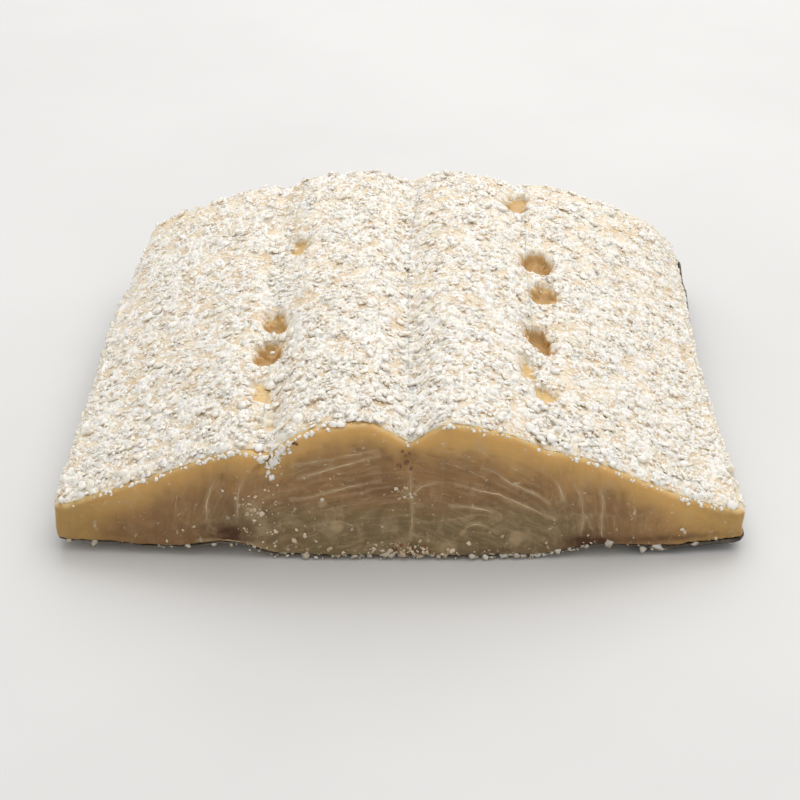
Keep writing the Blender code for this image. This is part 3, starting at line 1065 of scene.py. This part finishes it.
saltLook = {
    "clear": (0.87, 0.83, 0.76),
    "white": (0.925, 0.905, 0.865),
    "creamy": (0.88, 0.81, 0.685),
    "paintedUnderLight": (0.87, 0.755, 0.57),      # painted light: the undersides tinted warm, as if lit through the salt from below where they lie in shade
}
# a darker copy of the salt's colours for the grains along the cuts' lower edges: painted shade
shadedEdgeSaltLook = {
    "clear": (0.58, 0.53, 0.45),
    "white": (0.72, 0.68, 0.61),
    "creamy": (0.60, 0.50, 0.37),
    "paintedUnderLight": (0.50, 0.40, 0.27),
}


def saltMaterial(name, look):
    material, tree, shader = newMaterial(name)
    place = objectPlace(tree)
    tone = attribute(tree, "tone")
    cloud = noiseNode(tree, place, 700, 3)
    colour = mixColours(tree, between(tree, tone, 0.35, 0.7), look["clear"], look["white"])
    colour = mixColours(tree, between(tree, tone, 0.8, 0.95), colour, look["creamy"])
    colour = mixColours(tree, between(tree, cloud, 0.5, 0.8, 0.0, 0.4), colour, look["white"])
    # painted light: the grains' lower parts tinted warm, standing in for light scattered through the salt
    # into their shaded undersides
    colour = mixColours(tree, times(tree, attribute(tree, "low"), 0.75), colour, look["paintedUnderLight"])
    tree.links.new(colour, shader.inputs["Base Color"])
    tree.links.new(between(tree, cloud, 0.3, 0.7, 0.2, 0.42), shader.inputs["Roughness"])
    setShader(shader, IOR=1.5)
    addBump(tree, shader, cloud, 0.2, 0.1 * mm)
    return material


# pale septa that show at the cuts

septa = {
    # across and up, in millimetres
    "front": (
        ((2.5, 17.0), (4.4, 20.0), (8.2, 21.4)),
        ((12.6, 20.8), (18.2, 19.1), (22.4, 17.8), (27.0, 15.2), (34.8, 11.2)),
        ((11.4, 15.2), (15.0, 15.0), (19.0, 14.0), (22.4, 12.4)),
        ((18.4, 25.0), (21.6, 23.6), (24.4, 20.8), (30.0, 18.2), (33.6, 15.4)),
        ((34.8, 21.4), (36.0, 18.4), (36.8, 15.8)),
        ((37.4, 23.2), (40.4, 17.4), (41.6, 11.0), (40.9, 7.0), (42.0, 4.6)),
        ((41.6, 26.4), (44.4, 20.4), (45.7, 15.2), (45.5, 10.4), (46.2, 4.4)),
        ((13.4, 33.4), (18.0, 29.8), (20.8, 27.0)),
        ((13.9, 7.6), (15.4, 10.0), (17.4, 10.6), (19.6, 9.2)),
        ((-24.2, 25.2), (-16.4, 27.2), (-5.0, 29.6)),
        ((-23.4, 21.8), (-13.6, 25.4), (-4.6, 28.2)),
        ((-24.4, 16.4), (-20.0, 17.2), (-12.8, 19.6), (-4.6, 21.6)),
        ((-39.8, 27.0), (-41.4, 21.6), (-43.3, 16.2), (-43.7, 9.8)),
        ((-34.6, 23.0), (-36.4, 17.4), (-36.8, 10.4)),
        ((1.4, 29.4), (2.2, 25.4), (2.4, 19.4), (2.9, 12.4), (2.6, 5.4)),
        ((-46.0, 4.6), (-40.0, 5.4), (-34.0, 4.2), (-28.0, 1.7), (-25.2, 1.2)),
    ),
    "faint": (
        ((5.0, 27.2), (11.8, 26.0), (18.2, 22.8), (25.4, 18.8)),
        ((5.6, 10.6), (10.8, 11.4), (17.2, 12.8), (24.0, 11.6)),
        ((-22.0, 12.6), (-13.6, 14.8), (-5.0, 16.6)),
        ((-21.0, 9.6), (-15.0, 11.2), (-9.6, 9.4), (-8.4, 6.2)),
        ((-28.2, 19.0), (-31.4, 15.4), (-31.8, 9.4)),
        ((-47.6, 22.4), (-50.2, 16.6), (-50.8, 10.6)),
        ((49.6, 22.0), (52.6, 16.4), (53.2, 10.2)),
        ((28.8, 28.4), (33.4, 23.4), (35.4, 19.4)),
        ((6.0, 31.4), (12.4, 29.0), (20.6, 24.6)),
    ),
    "thickness": 0.17 * mm,
    "proud": -0.09 * mm,
    "below": 3.6 * mm,       # they fade out below the amber rim
}


cutFrom = 0.9 * fleshHigh.y  # a ray that goes deeper has missed the cut
rimAt = 0.97 * fleshHigh.y   # where the top's height at a cut is read


def hitCut(tree, x, z, side):
    # the place and normal of the cut here, or none beyond it; side is -1 at the front, 1 at the rear
    hit, normal = tree.ray_cast(Vector((x, side, z)), Vector((0, -side, 0)))[:2]
    return (hit, normal) if hit and abs(hit.y) > cutFrom else (None, None)


def makeStrand(points, side, tree, thickness):
    curve = bpy.data.curves.new("strand", "CURVE")
    curve.dimensions = "3D"
    curve.bevel_depth = thickness
    curve.bevel_resolution = 1
    curve.use_fill_caps = True
    line = curve.splines.new("POLY")
    path = np.array(points) * mm
    way = np.concatenate(([0], np.cumsum(np.hypot(*np.diff(path, axis=0).T))))
    steps = max(6, int(way[-1] / (0.8 * mm)))
    at = np.linspace(0, way[-1], steps)
    spread = np.column_stack([np.interp(at, way, path[:, i]) for i in range(2)])
    for _ in range(3):  # corners worn round
        spread[1:-1] = (spread[:-2] + 2 * spread[1:-1] + spread[2:]) / 4
    drifts = [0.25 * mm * noiseAt(x, z, side, 2.2 * mm) for x, z in spread]
    spots = [hitCut(tree, x + drift, z + drift, side)[0] for (x, z), drift in zip(spread, drifts)]
    rims = readMap(topMap, spread[:, 0], np.full(steps, side * rimAt)) - septa["below"]
    kept = [(x, z, spot) for (x, z), spot, rim in zip(spread, spots, rims) if spot and z < rim]
    if len(kept) < 3:
        return None
    steps = len(kept)
    line.points.add(steps - 1)
    for number, (x, z, spot) in enumerate(kept):
        line.points[number].co = (spot.x, spot.y + side * septa["proud"], spot.z, 1)
        end = min(number, steps - 1 - number) / steps
        line.points[number].radius = 0.35 + 1.1 * min(1, 3 * end) * (0.7 + 0.5 * noiseAt(x, z, 3, 1.5 * mm))
    strand = bpy.data.objects.new("strand", curve)
    bpy.context.scene.collection.objects.link(strand)
    return strand


def makeSepta(tree):
    strands = []
    for side in (-1, 1):
        for points, share in cutLines(side):
            strand = makeStrand(points, side, tree, share * septa["thickness"])
            if strand:
                strands.append(strand)
    bpy.ops.object.select_all(action="DESELECT")
    for strand in strands:
        strand.select_set(True)
    bpy.context.view_layer.objects.active = strands[0]
    bpy.ops.object.convert(target="MESH")
    bpy.ops.object.join()
    piece = newest("septa")
    piece.data.shade_smooth()
    print("septa:", len(strands), "strands,", len(piece.data.polygons), "faces")
    return piece


def septaMaterial():
    colours = (0.46, 0.30, 0.155), (0.62, 0.45, 0.27)
    material, tree, shader, colour = cloudyMaterial("paleSepta", 220, colours, (0.5, 0.7), 0.2, 0.1 * mm)
    crumb = between(tree, attribute(tree, "tone"), 0.1, 0.8, 0.0, 0.85)  # only crumbs have a tone
    tree.links.new(mixColours(tree, crumb, colour, (0.74, 0.65, 0.51)), shader.inputs["Base Color"])
    setShader(shader, Specular_IOR_Level=0.25)
    return material


# crumbs of salt and flesh that cling to the cuts, and grains along the lower edges and flanks

crumbKinds = {
    "cut_crumbs": {"size": (0.3, 1.25), "flat": (0.35, 0.65), "chips": 4, "seed": 55},
    "edge_salt": {"count": 260, "size": (0.5, 1.8), "flat": (0.5, 0.9), "chips": 5, "seed": 66},
    "flank_salt": {"count": 3200, "size": (0.5, 1.6), "flat": (0.3, 0.7), "chips": 4, "seed": 77},
    "brown_specks": {"size": (0.5, 1.1), "flat": (0.4, 0.5), "chips": 3, "seed": 88},
}

crumbClumps = (
    # across, up, half width and half height in millimetres, how many
    (-32.5, 13.0, 3.2, 4.5, 70),
    (-27.0, 8.0, 5.0, 4.0, 24),
    (1.0, 2.4, 4.2, 1.3, 90),
    (11.0, 2.2, 7.0, 1.0, 34),
    (-14.0, 2.0, 10.0, 1.0, 34),
    (-12.0, 18.0, 9.0, 4.0, 6),
    (20.0, 6.0, 8.0, 3.0, 8),
    (1.2, 18.4, 1.2, 1.5, 30),
    (43.0, 5.0, 2.0, 2.0, 8),
    (-55.0, 5.0, 10.0, 2.0, 10),
    (60.0, 5.0, 10.0, 1.5, 12),
)

largeEdgeGrains = (
    # across and size in millimetres, along the front cut's lower edge
    (-70.0, 1.6), (-55.0, 1.5), (-48.5, 1.1), (-3.0, 2.0), (0.6, 2.4), (3.4, 1.9), (18.4, 2.7), (20.6, 1.7),
    (24.3, 2.1), (26.6, 1.6), (33.6, 1.9), (39.5, 1.4), (47.4, 1.9), (59.2, 2.7), (61.0, 1.7), (68.0, 1.3),
)

brownSpots = (
    # across and up in millimetres, on the front cut
    (0.5, 29.3), (2.1, 28.8), (1.3, 28.2), (-0.2, 25.5), (2.5, 24.7), (1.6, 26.4),
    (-23.4, 31.4), (-22.8, 31.1), (-1.2, 3.3), (0.4, 4.4), (1.6, 2.2), (2.4, 4.6),
    (3.2, 3.4), (4.4, 2.6), (5.6, 3.8), (-2.4, 2.0), (7.0, 2.6),
)


def layOne(plan, dice, place, size, turn):
    long, flat = dice.uniform(0.65, 1.0), dice.uniform(*plan["flat"])
    sizes = np.array((1, long, flat)) * size
    return int(dice.integers(shapesPerKind)), np.array(place), turn, sizes, dice.random()


def clingToCuts(tree):
    plan = crumbKinds["cut_crumbs"]
    dice = np.random.default_rng(plan["seed"])
    laid = []
    for side in (-1, 1):
        for across, up, wide, high, count in crumbClumps:
            for _ in range(count):
                x = (-side * across + dice.normal() * wide) * mm
                z = max(0.9, up + dice.normal() * high) * mm
                if z > readSpot(topMap, x, side * rimAt) - 2 * mm:
                    continue
                size = mix(*plan["size"], dice.random() ** 2) * mm
                place = hitCut(tree, x, z, side)[0]
                if place:
                    laid.append(layOne(plan, dice, place, size, turned(dice, 0.4, (0, side, 0))))
    return joinGrains("cut_crumbs", mixedShapes(plan, dice), laid)


def markSpecks(tree):
    plan = crumbKinds["brown_specks"]
    dice = np.random.default_rng(plan["seed"])
    laid = []
    for side in (-1, 1):
        for across, up in brownSpots:
            size = dice.uniform(*plan["size"]) * mm
            place = hitCut(tree, -side * across * mm, up * mm, side)[0]
            if place:
                laid.append(layOne(plan, dice, place, size, turned(dice, 0.2, (0, side, 0))))
    return joinGrains("brown_specks", chippedShapes(plan, dice), laid)


def hangOnEdges():
    plan = crumbKinds["edge_salt"]
    dice = np.random.default_rng(plan["seed"])
    laid = []
    spots = [(side, across * mm, 1.2 * size * mm) for side in (-1, 1) for across, size in largeEdgeGrains]
    for _ in range(plan["count"]):
        side = -1 if dice.random() < 0.5 else 1
        x = dice.normal(8, 30) * mm
        spots.append((side, x, mix(*plan["size"], dice.random() ** 2) * mm))
    for side, x, size in spots:
        x = min(max(x, fleshLow.x + 3 * mm), fleshHigh.x - 3 * mm)
        bottom = readSpot(bottomMap, x, side * 0.96 * fleshHigh.y)
        z = max(0.72 * size, bottom + dice.uniform(-1.2, 0.4) * mm)
        y = (frontAt(x) if side < 0 else rearAt(x)) - side * (0.3 * size + dice.uniform(0.1, 1.3) * mm)
        laid.append(layOne(plan, dice, (x, y, z), size, turned(dice, 0.5)))
    return joinGrains("edge_salt", chippedShapes(plan, dice), laid)


def coatFlanks(tree):
    plan = crumbKinds["flank_salt"]
    dice = np.random.default_rng(plan["seed"])
    laid = []
    for _ in range(plan["count"]):
        side = -1 if dice.random() < 0.5 else 1
        y = dice.uniform(fleshLow.y + 8 * mm, fleshHigh.y - 5 * mm)
        edge = (leftAt(y) if side < 0 else rightAt(y)) - side * 2.6 * mm
        low, high = readSpot(bottomMap, edge, y), readSpot(topMap, edge, y)
        share = dice.random() ** 0.6
        hit, normal = tree.ray_cast(Vector((side, y, mix(low, high, share))), Vector((-side, 0, 0)))[:2]
        covered = mix(*[pair[(side + 1) // 2] for pair in skinSheet["rise"]], shareAlong(y))
        if hit is None or share < covered + 0.12:
            continue
        size = mix(*plan["size"], dice.random() ** 1.5) * mm
        laid.append(layOne(plan, dice, hit, size, turned(dice, 0.45, normal)))
    return joinGrains("flank_salt", chippedShapes(plan, dice), laid)


rimSalt = {
    "count": 760, "size": (0.4, 1.3), "flat": (0.4, 0.8), "chips": 4, "seed": 99,
    "reach": 0.35 * mm,      # how far below the rim most of it hangs
    "groove": -28 * mm,      # where more of it has run down, and where there is none
    "clear": -10 * mm,
}


def spillOverRims(tree):
    # grains that have tumbled over the cuts' upper edges
    plan = rimSalt
    dice = np.random.default_rng(plan["seed"])
    laid = []
    for _ in range(plan["count"]):
        side = -1 if dice.random() < 0.6 else 1
        x = dice.uniform(0.94 * fleshLow.x, 0.94 * fleshHigh.x)
        if dice.random() < 0.3:
            x = plan["groove"] + 2.2 * mm * dice.normal()
        thick = 0.55 + 1.6 * noiseAt(x, side, 0, 6 * mm) - bump(x - plan["clear"], 9 * mm)
        down = abs(dice.normal()) * plan["reach"] * (1 + 6.0 * bump(x - plan["groove"], 3 * mm))
        groove = bump(x - plan["groove"], 5 * mm)
        if dice.random() > thick + groove:
            continue
        hit, normal = hitCut(tree, x, readSpot(topMap, x, side * rimAt) - 0.05 * mm - down, side)
        if hit is None:
            continue
        size = mix(*plan["size"], dice.random() ** 1.6) * mm
        laid.append(layOne(plan, dice, hit, size, turned(dice, 0.4, normal)))
    return joinGrains("rim_salt", mixedShapes(plan, dice), laid)


def speckMaterial():
    colours = (0.15, 0.060, 0.020), (0.27, 0.12, 0.045)
    return cloudyMaterial("brownSpecks", 900, colours, (0.3, 0.5), 0.3, 0.1 * mm)[0]


# the skin: a thin sheet taken from the block's underside

skinSheet = {
    "columns": 230,
    "rows": 110,
    "climb": 8,                        # columns at each side that climb the flank
    "thickness": 0.95 * mm,
    "edge": 0.5,                       # its thickness at the cuts, as a share
    "rise": ((0.05, 0.16), (0.62, 0.72)),  # share of the left and right flank it covers, at each cut
    "back": 0.55 * mm,                 # how far its edge stands back from the cuts
    "show": 0.35 * mm,                 # how far it comes forward at the front right
    "flare": 1.1 * mm,                 # how far its upper edge stands off the flank near the rear
}


def makeSkin():
    bpy.ops.object.select_all(action="DESELECT")
    columns, rows, climb = skinSheet["columns"], skinSheet["rows"], skinSheet["climb"]
    bpy.ops.mesh.primitive_grid_add(x_subdivisions=columns, y_subdivisions=rows, size=2)
    sheet = newest("cod_skin")
    across, along = readPoints(sheet)[:, :2].T
    column = np.round((across + 1) / 2 * columns)
    under = np.clip((column - climb) / (columns - 2 * climb) * 2 - 1, -1, 1)
    climbed = np.maximum(climb - column, column - columns + climb).clip(0) / climb
    share = np.interp((along + 1) / 2, [0, 0.04, 0.96, 1], [0, 0.008, 0.992, 1])
    (frontLeft, frontRight), (rearLeft, rearRight) = skinSheet["rise"]
    towardsRear = ramp(0, 1, share)
    leftRise, rightRise = mix(frontLeft, rearLeft, towardsRear), mix(frontRight, rearRight, towardsRear)
    rise = np.where(across < 0, leftRise, rightRise)
    line = np.column_stack((np.zeros(len(share)), share * 0.14, np.sign(across)))
    rise *= 1 + 0.25 * roughness(line, 8 * mm, 3.0)
    placed, x, y, z, bottom = blockSurface(under, 2 * share - 1, -1 + 2 * rise * climbed)
    cuts = np.minimum(placed[:, 1] - frontAt(x), rearAt(x) - placed[:, 1])
    line = np.column_stack((x, np.sign(along), np.zeros(len(x))))
    back = skinSheet["back"] * (1 + roughness(line, 7 * mm, 2.0) + 0.5 * roughness(line, 1.7 * mm, 5.0))
    placed[:, 1] -= np.sign(along) * back * (1 - ramp(0, 4 * mm, cuts))
    flare = skinSheet["flare"] * climbed ** 1.5 * ramp(0.55, 0.85, share)
    flare *= 1 + 0.4 * roughness(line, 5 * mm, 9.0)
    placed[:, 0] += np.sign(across) * flare
    corner = ramp(54 * mm, 62 * mm, x) * (along < 0)  # it shows below the front cut, at the right
    placed[:, 1] -= corner * skinSheet["show"] * (1 - ramp(0, 4 * mm, cuts))
    writePoints(sheet, placed)
    pick(sheet)
    bpy.ops.object.mode_set(mode="EDIT")
    bpy.ops.mesh.select_all(action="SELECT")
    bpy.ops.mesh.flip_normals()
    bpy.ops.object.mode_set(mode="OBJECT")
    wall = sheet.vertex_groups.new(name="wall")
    thick = mix(np.maximum(skinSheet["edge"], corner), 1.0, ramp(0, 6 * mm, cuts)) * mix(1.0, 0.45, climbed)
    for number, share in enumerate(thick):
        wall.add([number], float(share), "REPLACE")
    solid = sheet.modifiers.new("wall", "SOLIDIFY")
    solid.thickness = skinSheet["thickness"]
    solid.offset = 1.0
    solid.vertex_group = "wall"
    solid.material_offset = 1
    solid.material_offset_rim = 1
    sheet.data.materials.append(bpy.data.materials.new("inner"))
    sheet.data.materials.append(bpy.data.materials.new("outer"))
    applyAll(sheet)
    for face in sheet.data.polygons:  # dark on both sides on the flanks and where it shows in front
        x, y = face.center.x, face.center.y
        flank = min(x - leftAt(y), rightAt(y) - x) < 1.5 * mm
        if flank or (x > 52 * mm and y < frontAt(x) + 6 * mm):
            face.material_index = 1
    sheet.data.shade_smooth()
    print("skin:", len(sheet.data.polygons), "faces")
    return sheet


def skinMaterials():
    colours = (0.34, 0.26, 0.17), (0.48, 0.39, 0.28)
    inner = cloudyMaterial("skinInside", 300, colours, (0.3, 0.5), 0.3, 0.2 * mm)[0]

    outer, tree, shader = newMaterial("skinOutside")
    place = objectPlace(tree)
    cloud = noiseNode(tree, place, 90, 5)
    spots = noiseNode(tree, place, 330, 4, 0.6)
    cells = addNode(tree, "TexVoronoi", {"feature": "DISTANCE_TO_EDGE"}, Vector=place, Scale=620.0)
    scales = cells.outputs["Distance"]
    colour = mixColours(tree, between(tree, cloud, 0.3, 0.7), (0.042, 0.032, 0.021), (0.105, 0.088, 0.062))
    colour = mixColours(tree, between(tree, spots, 0.52, 0.66, 0.0, 0.6), colour, (0.17, 0.142, 0.098))
    colour = mixColours(tree, between(tree, scales, 0.0, 0.12, 0.55, 0.0), colour, (0.028, 0.024, 0.018))
    tree.links.new(colour, shader.inputs["Base Color"])
    tree.links.new(between(tree, spots, 0.3, 0.7, 0.32, 0.5), shader.inputs["Roughness"])
    height = maths(tree, "ADD", between(tree, scales, 0.0, 0.2), spots)
    addBump(tree, shader, height, 0.5, 0.2 * mm)
    return inner, outer


# floor, lights and camera

camera = {
    "lens": 85,            # millimetres
    "sensor": 36,
    "nearest": 10 * mm,    # what it can still see
    "ahead": 355 * mm,     # of the front cut
    "height": 247.6 * mm,  # over the table
    "lookDown": 30,        # degrees
}

lights = {
    # place in metres, size, strength in watts, colour
    "window": ((0.10, 0.70, 0.80), 1.1, 5.2, (1.0, 0.985, 0.965)),
    "overhead": ((0.30, 0.00, 1.05), 1.3, 4.6, (1.0, 0.985, 0.965)),
}
roomLight = {"colour": (1.0, 0.997, 0.99, 1.0), "strength": 0.68}


def makeStage():
    bpy.ops.object.select_all(action="DESELECT")
    bpy.ops.mesh.primitive_plane_add(size=6, location=(0, 0, 0))
    floor = newest("floor")
    bpy.ops.object.transform_apply(location=True, rotation=True, scale=True)
    material, tree, shader = newMaterial("paleFloor")
    cloud = noiseNode(tree, objectPlace(tree), 6, 4)
    colour = mixColours(tree, between(tree, cloud, 0.3, 0.7), (0.66, 0.66, 0.655), (0.70, 0.70, 0.695))
    tree.links.new(colour, shader.inputs["Base Color"])
    setShader(shader, Roughness=0.6)
    floor.data.materials.append(material)
    for name, (place, size, strength, colour) in lights.items():
        bpy.ops.object.light_add(type="AREA", location=place)
        lamp = bpy.context.object
        lamp.name = name
        lamp.data.size = size
        lamp.data.energy = strength
        lamp.data.color = colour
        aim = Vector((0, 0, 0.02)) - Vector(place)
        lamp.rotation_euler = aim.to_track_quat("-Z", "Y").to_euler()
    world = bpy.data.worlds.new("room")
    world.use_nodes = True
    world.node_tree.nodes["Background"].inputs["Color"].default_value = roomLight["colour"]
    world.node_tree.nodes["Background"].inputs["Strength"].default_value = roomLight["strength"]
    bpy.context.scene.world = world
    spot = (0, fleshLow.y - camera["ahead"], camera["height"])
    bpy.ops.object.camera_add(location=spot, rotation=(math.radians(90 - camera["lookDown"]), 0, 0))
    bpy.context.object.data.lens = camera["lens"]
    bpy.context.object.data.sensor_width = camera["sensor"]
    bpy.context.object.data.clip_start = camera["nearest"]
    bpy.context.scene.camera = bpy.context.object
    bpy.context.scene.view_settings.view_transform = "Standard"
    print("stage, lights and camera ready")


def finishPiece(piece, materials, slot, *nodes):
    for number, material in enumerate(materials if isinstance(materials, tuple) else (materials,)):
        if number < len(piece.data.materials):  # kept in place, so that the faces keep their numbers
            piece.data.materials[number] = material
        else:
            piece.data.materials.append(material)
    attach(piece, "root")
    if nodes:
        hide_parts(*nodes)


makeStage()
flesh = makeFlesh()
finishPiece(flesh, fleshMaterial(), "cod_flesh", "flesh")
finishPiece(makeSkin(), skinMaterials(), "cod_skin", "skin")
bed = SaltBed()
cakeSalt(bed)
crustLooks = crustMaterial()
for number in range(len(crust["strips"])):
    finishPiece(makeCrust(bed, number), crustLooks, "salt")
salt = saltMaterial("coarseSalt", saltLook)
for kind in saltKinds:
    shapes, laid = laySalt(kind, bed)
    finishPiece(joinGrains(kind, shapes, laid), salt, "salt")
cutTree = BVHTree.FromObject(flesh, bpy.context.evaluated_depsgraph_get())
pale = septaMaterial()
finishPiece(makeSepta(cutTree), pale, "cod_flesh")
finishPiece(clingToCuts(cutTree), pale, "cod_flesh")
finishPiece(markSpecks(cutTree), speckMaterial(), "cod_flesh")
# the grains by the lower edges get the darker copy of the salt colours, which is painted shade
finishPiece(hangOnEdges(), saltMaterial("shadedEdgeSalt", shadedEdgeSaltLook), "salt")
finishPiece(coatFlanks(cutTree), salt, "salt")
finishPiece(spillOverRims(cutTree), salt, "salt")
